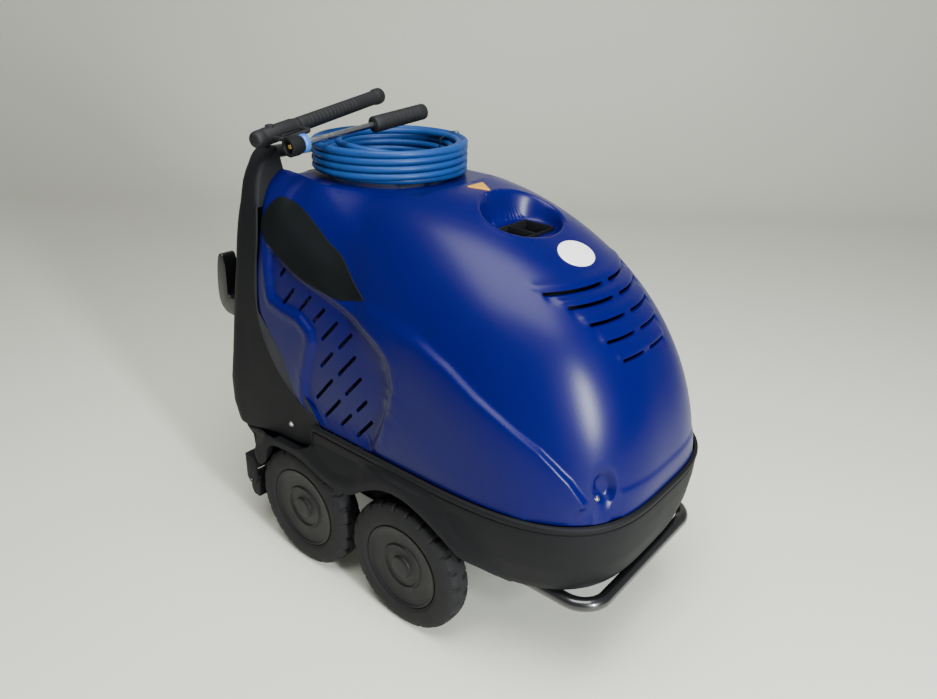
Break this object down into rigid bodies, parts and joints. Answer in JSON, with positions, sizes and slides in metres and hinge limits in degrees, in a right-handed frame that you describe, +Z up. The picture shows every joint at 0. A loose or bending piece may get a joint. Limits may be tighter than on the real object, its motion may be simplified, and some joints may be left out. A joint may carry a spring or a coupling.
{
  "type": "pressure washer",
  "caption": "Wheeled commercial pressure washer with a domed plastic hood, tub base, bumper tube, rear housing, hose coil, spray gun and lance.",
  "frame": {"origin": "on the floor, under the middle of the overall box", "axes": "+Z up; -Y is the front, where the machine is drawn along by its bumper end; +Y is the operator's side with the push handle; +X is the machine's right seen from behind"},
  "size_m": [0.656, 1.0692, 1.0445],
  "materials": {
    "hood_blue": "satin moulded plastic, deep ultramarine",
    "moulded_black": "fine-grained moulded plastic, near black",
    "hook_black": "smooth moulded plastic, near black",
    "gloss_black": "gloss powder coat on steel tube",
    "tyre_rubber": "matte rubber with a blocky tread",
    "hub_black": "satin moulded plastic, near black",
    "zinc_steel": "bright zinc-plated or stainless steel",
    "cast_iron_grey": "grey painted casting",
    "cast_alloy": "bare casting",
    "brass": "machined brass",
    "hose_blue": "mid blue plastic",
    "hose_rubber": "blue rubber hose cover, matte",
    "panel_grey": "grey moulded plastic",
    "signal_red": "red plastic",
    "label_yellow": "plain yellow film",
    "badge_white": "plain white plastic",
    "tank_white": "natural blow-moulded plastic"
  },
  "bodies": {
    "machine": {"hood": "hood_blue", "base_shell": "moulded_black", "rear_housing": "moulded_black", "side_insert_left": "moulded_black", "side_insert_right": "moulded_black", "flue_grille": "moulded_black", "blank_badge": "badge_white", "blank_yellow_label": "label_yellow", "hood_screw_left": "zinc_steel", "hood_screw_right": "zinc_steel", "housing_screw_left": "zinc_steel", "housing_screw_right": "zinc_steel", "push_handle": "gloss_black", "cable_hook_left": "hook_black", "cable_hook_right": "hook_black", "bumper_frame": "gloss_black", "axle_front": "zinc_steel", "axle_rear": "zinc_steel", "brake_bracket": "hub_black", "brake_pin": "zinc_steel", "control_panel": "panel_grey", "pressure_gauge": "badge_white", "power_lamp": "badge_white", "water_inlet": "brass", "high_pressure_outlet": "zinc_steel", "cable_gland": "moulded_black", "boiler": "zinc_steel", "burner_blower": "cast_alloy", "electric_motor": "cast_iron_grey", "pump": "brass", "water_tank": "tank_white", "fuel_tank": "tank_white", "detergent_tank": "tank_white", "control_box": "panel_grey", "hose_coil": "hose_rubber", "hose_end_machine": "zinc_steel", "hose_end_gun": "zinc_steel", "red_end_cap": "signal_red"},
    "wheel_front_left": {"tyre_front_left": "tyre_rubber", "hub_front_left": "hub_black"},
    "wheel_front_right": {"tyre_front_right": "tyre_rubber", "hub_front_right": "hub_black"},
    "wheel_rear_left": {"tyre_rear_left": "tyre_rubber", "hub_rear_left": "hub_black"},
    "wheel_rear_right": {"tyre_rear_right": "tyre_rubber", "hub_rear_right": "hub_black"},
    "brake": {"brake_lever": "hub_black"},
    "main_switch_body": {"main_switch": "signal_red"},
    "temperature_knob_body": {"temperature_knob": "moulded_black"},
    "detergent_knob_body": {"detergent_knob": "moulded_black"},
    "fuel_cap_body": {"fuel_cap": "moulded_black"},
    "detergent_cap_body": {"detergent_cap": "hose_blue"},
    "gun": {"gun_body": "moulded_black", "gun_barrel": "moulded_black"},
    "trigger": {"gun_trigger": "moulded_black"},
    "lance": {"nozzle_guard": "moulded_black", "nozzle_tip": "brass", "nozzle_collar": "hose_blue", "lance_tube": "zinc_steel", "lance_grip": "moulded_black"}
  },
  "joints": [
    {"name": "wheel_front_left_spin", "type": "hinge", "parent": "machine", "child": "wheel_front_left", "pos_m": [-0.287, -0.1006, 0.15], "axis": [1, 0, 0], "continuous": true},
    {"name": "wheel_front_right_spin", "type": "hinge", "parent": "machine", "child": "wheel_front_right", "pos_m": [0.287, -0.1006, 0.15], "axis": [1, 0, 0], "continuous": true},
    {"name": "wheel_rear_left_spin", "type": "hinge", "parent": "machine", "child": "wheel_rear_left", "pos_m": [-0.287, 0.2154, 0.15], "axis": [1, 0, 0], "continuous": true},
    {"name": "wheel_rear_right_spin", "type": "hinge", "parent": "machine", "child": "wheel_rear_right", "pos_m": [0.287, 0.2154, 0.15], "axis": [1, 0, 0], "continuous": true},
    {"name": "brake_lever_tilt", "type": "hinge", "parent": "machine", "child": "brake", "pos_m": [-0.291, 0.4004, 0.15], "axis": [-1, 0, 0], "range_deg": [0, 30]},
    {"name": "main_switch_turn", "type": "hinge", "parent": "machine", "child": "main_switch_body", "pos_m": [-0.105, 0.435, 0.7726], "axis": [0, 0.9954, 0.0961], "range_deg": [0, 90]},
    {"name": "temperature_knob_turn", "type": "hinge", "parent": "machine", "child": "temperature_knob_body", "pos_m": [0, 0.435, 0.7726], "axis": [0, 0.9954, 0.0961], "range_deg": [0, 270]},
    {"name": "detergent_knob_turn", "type": "hinge", "parent": "machine", "child": "detergent_knob_body", "pos_m": [0.062, 0.4366, 0.7566], "axis": [0, 0.9954, 0.0961], "range_deg": [0, 270]},
    {"name": "fuel_cap_turn", "type": "hinge", "parent": "machine", "child": "fuel_cap_body", "pos_m": [-0.095, 0.3864, 0.8651], "axis": [0, 0.5039, 0.8638], "range_deg": [0, 360]},
    {"name": "detergent_cap_turn", "type": "hinge", "parent": "machine", "child": "detergent_cap_body", "pos_m": [0.095, 0.3864, 0.8651], "axis": [0, 0.5039, 0.8638], "range_deg": [0, 360]},
    {"name": "gun_lift", "type": "slide", "parent": "machine", "child": "gun", "axis": [0, 0, 1], "range_m": [0, 0.15]},
    {"name": "trigger_pull", "type": "hinge", "parent": "gun", "child": "trigger", "pos_m": [-0.2138, 0.3252, 0.9793], "axis": [-0.12, -0.0165, 0.9926], "range_deg": [0, 7], "stiffness_Nm_per_rad": 1},
    {"name": "lance_lift", "type": "slide", "parent": "machine", "child": "lance", "axis": [0, 0, 1], "range_m": [0, 0.15]}
  ]
}
